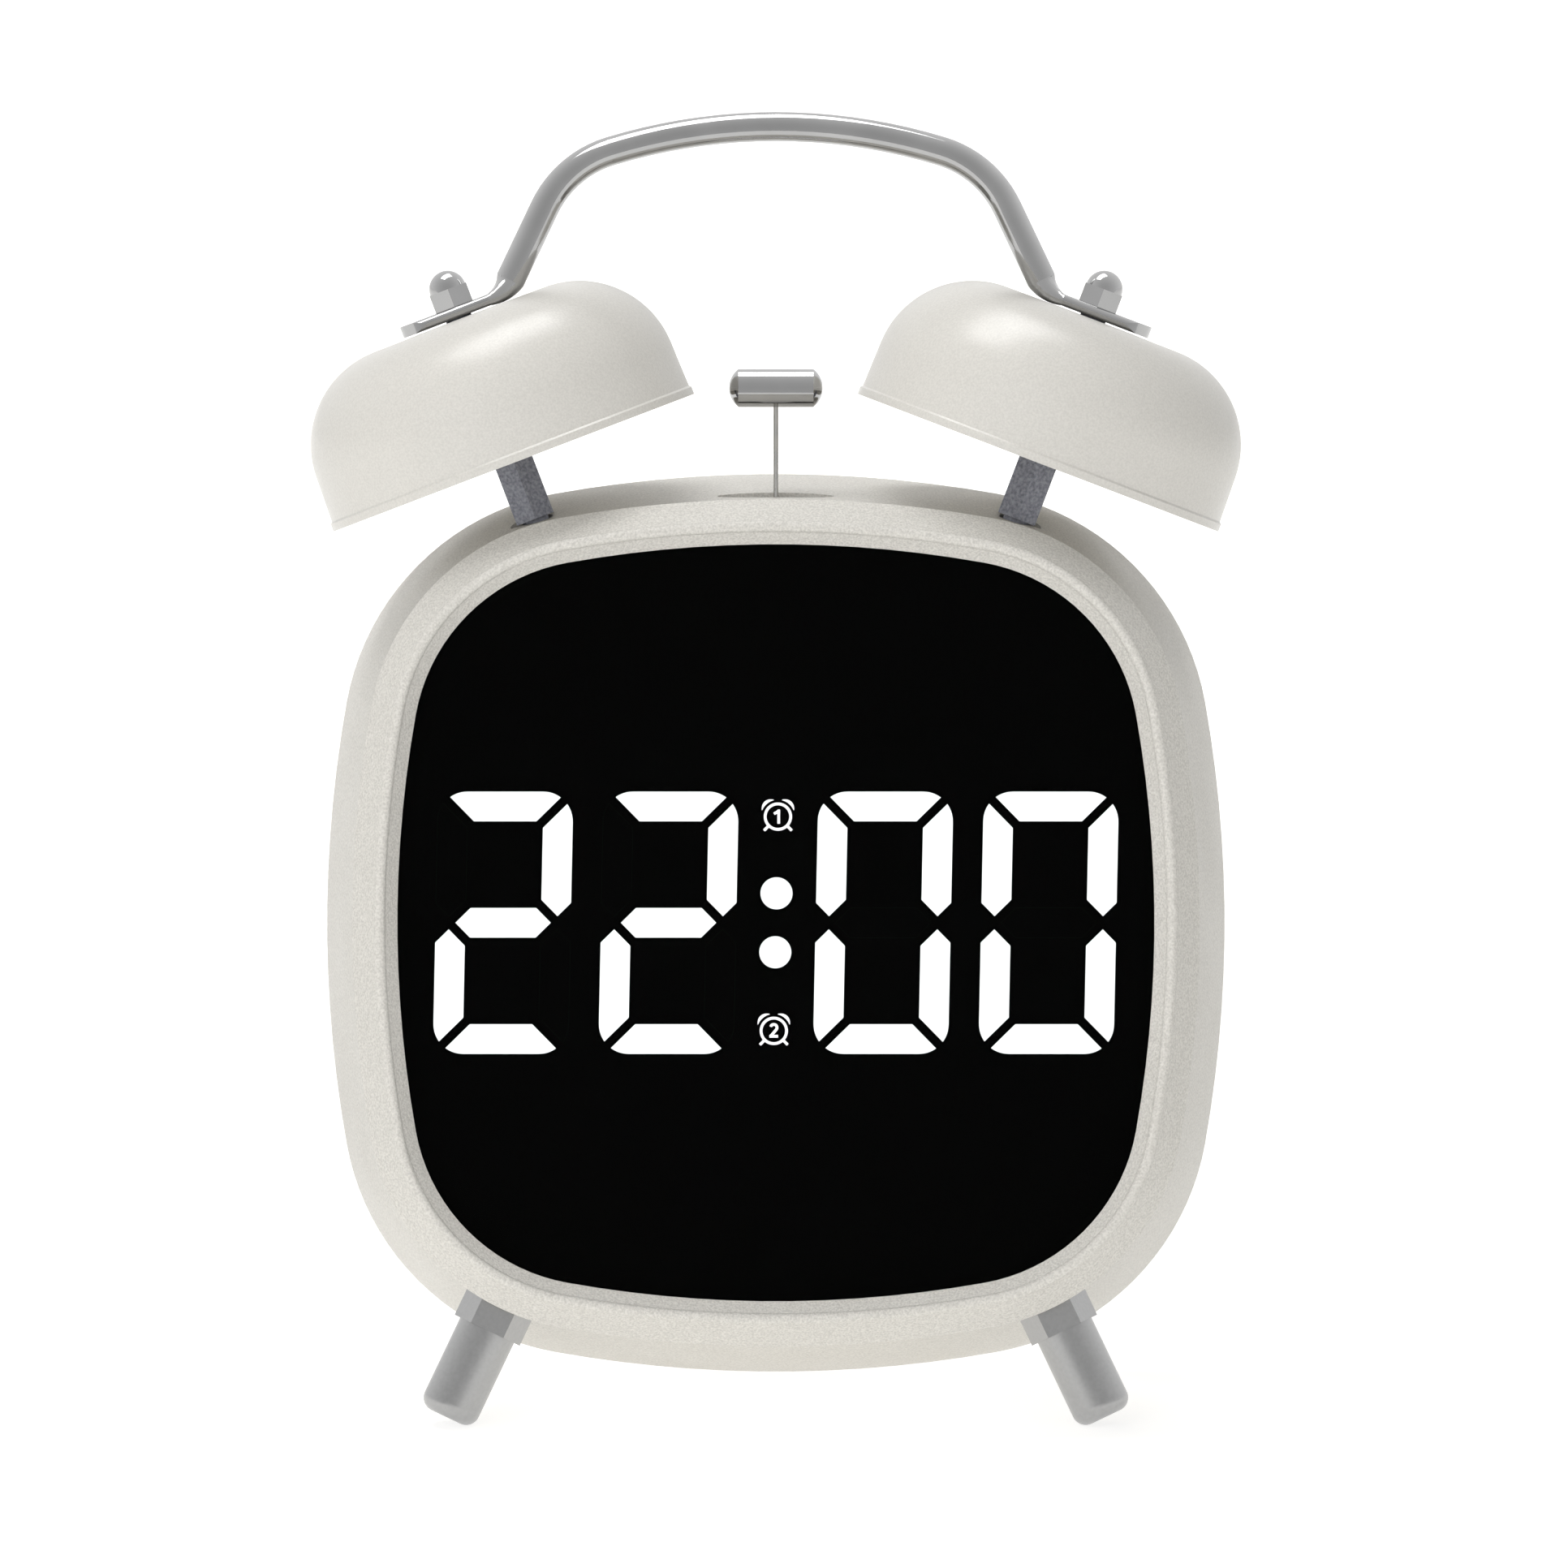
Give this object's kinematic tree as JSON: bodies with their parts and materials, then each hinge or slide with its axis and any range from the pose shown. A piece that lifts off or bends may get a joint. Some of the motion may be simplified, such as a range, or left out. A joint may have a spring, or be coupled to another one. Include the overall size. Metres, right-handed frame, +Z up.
{
  "type": "digital alarm clock",
  "caption": "Bell alarm clock with a lit digital screen: rounded-square case, bells struck by a swinging hammer, bent carrying handle, splayed feet and push buttons on the back.",
  "frame": {"origin": "middle of the box round the part, on the floor that it stands on", "axes": "+Z up, +Y from the face to the back, +X to the right as seen from the front"},
  "size_m": [0.1192, 0.0712, 0.1627],
  "materials": {
    "cream_moulding": "satin moulded",
    "cream_enamel": "gloss enamel",
    "bright_chrome": "polished",
    "satin_nickel": "turned, satin",
    "dark_steel": "blasted, dark plated",
    "plain_steel": "zinc plated",
    "lens_smoke": "polished, dark",
    "mask_black": "matt moulded",
    "lit_white": "frosted light guide",
    "unlit_smoke": "frosted light guide",
    "board_green": "solder mask",
    "button_grey": "satin moulded",
    "copper_wire": "enamelled wire",
    "bobbin_nylon": "moulded",
    "soft_iron": "bare",
    "cell_can": "sleeved can"
  },
  "bodies": {
    "clock": {"acorn_nuts": "bright_chrome", "battery_cells": "cell_can", "battery_contacts": "plain_steel", "bell_studs": "plain_steel", "bezel_ring": "cream_moulding", "case_screws": "plain_steel", "coil_bobbin": "bobbin_nylon", "coil_winding": "copper_wire", "control_board": "board_green", "control_screws": "plain_steel", "display_board": "board_green", "display_screws": "plain_steel", "display_shield": "mask_black", "foot_nuts": "plain_steel", "frame_screws": "plain_steel", "front_case": "cream_moulding", "handle": "bright_chrome", "inlet_socket": "plain_steel", "left_bell": "cream_enamel", "left_foot": "satin_nickel", "left_post": "dark_steel", "lit_segments": "lit_white", "pivot_clip": "plain_steel", "pivot_pin": "plain_steel", "post_nuts": "plain_steel", "rear_case": "cream_moulding", "ribbon_cable": "bobbin_nylon", "right_bell": "cream_enamel", "right_foot": "satin_nickel", "right_post": "dark_steel", "screen_lens": "lens_smoke", "spacer_washers": "bright_chrome", "striker_frame": "plain_steel", "striker_yoke": "soft_iron", "tact_switches": "mask_black", "unlit_segments": "unlit_smoke", "yoke_rivets": "plain_steel"},
    "hammer": {"hammer_head": "bright_chrome", "hammer_rod": "plain_steel", "hammer_lever": "plain_steel", "hammer_magnet": "soft_iron"},
    "door": {"battery_door": "cream_moulding"},
    "mode_key": {"mode_button": "button_grey"},
    "up_key": {"up_button": "button_grey"},
    "down_key": {"down_button": "button_grey"},
    "alarm_key": {"alarm_button": "button_grey"}
  },
  "joints": [
    {"name": "hammer_swing", "type": "hinge", "parent": "clock", "child": "hammer", "pos_m": [0, 0.00535, 0.09412], "axis": [0, 0.9812, -0.1929], "range_deg": [-6.9, 6.9], "stiffness_Nm_per_rad": 0.02},
    {"name": "door_pull", "type": "slide", "parent": "clock", "child": "door", "axis": [0, 0.9812, -0.1929], "range_m": [0, 0.02]},
    {"name": "mode_press", "type": "slide", "parent": "clock", "child": "mode_key", "axis": [0, -0.9812, 0.1929], "range_m": [0, 0.0008], "stiffness_N_per_m": 600},
    {"name": "up_press", "type": "slide", "parent": "clock", "child": "up_key", "axis": [0, -0.9812, 0.1929], "range_m": [0, 0.0008], "stiffness_N_per_m": 600},
    {"name": "down_press", "type": "slide", "parent": "clock", "child": "down_key", "axis": [0, -0.9812, 0.1929], "range_m": [0, 0.0008], "stiffness_N_per_m": 600},
    {"name": "alarm_press", "type": "slide", "parent": "clock", "child": "alarm_key", "axis": [0, -0.9812, 0.1929], "range_m": [0, 0.0008], "stiffness_N_per_m": 600}
  ]
}
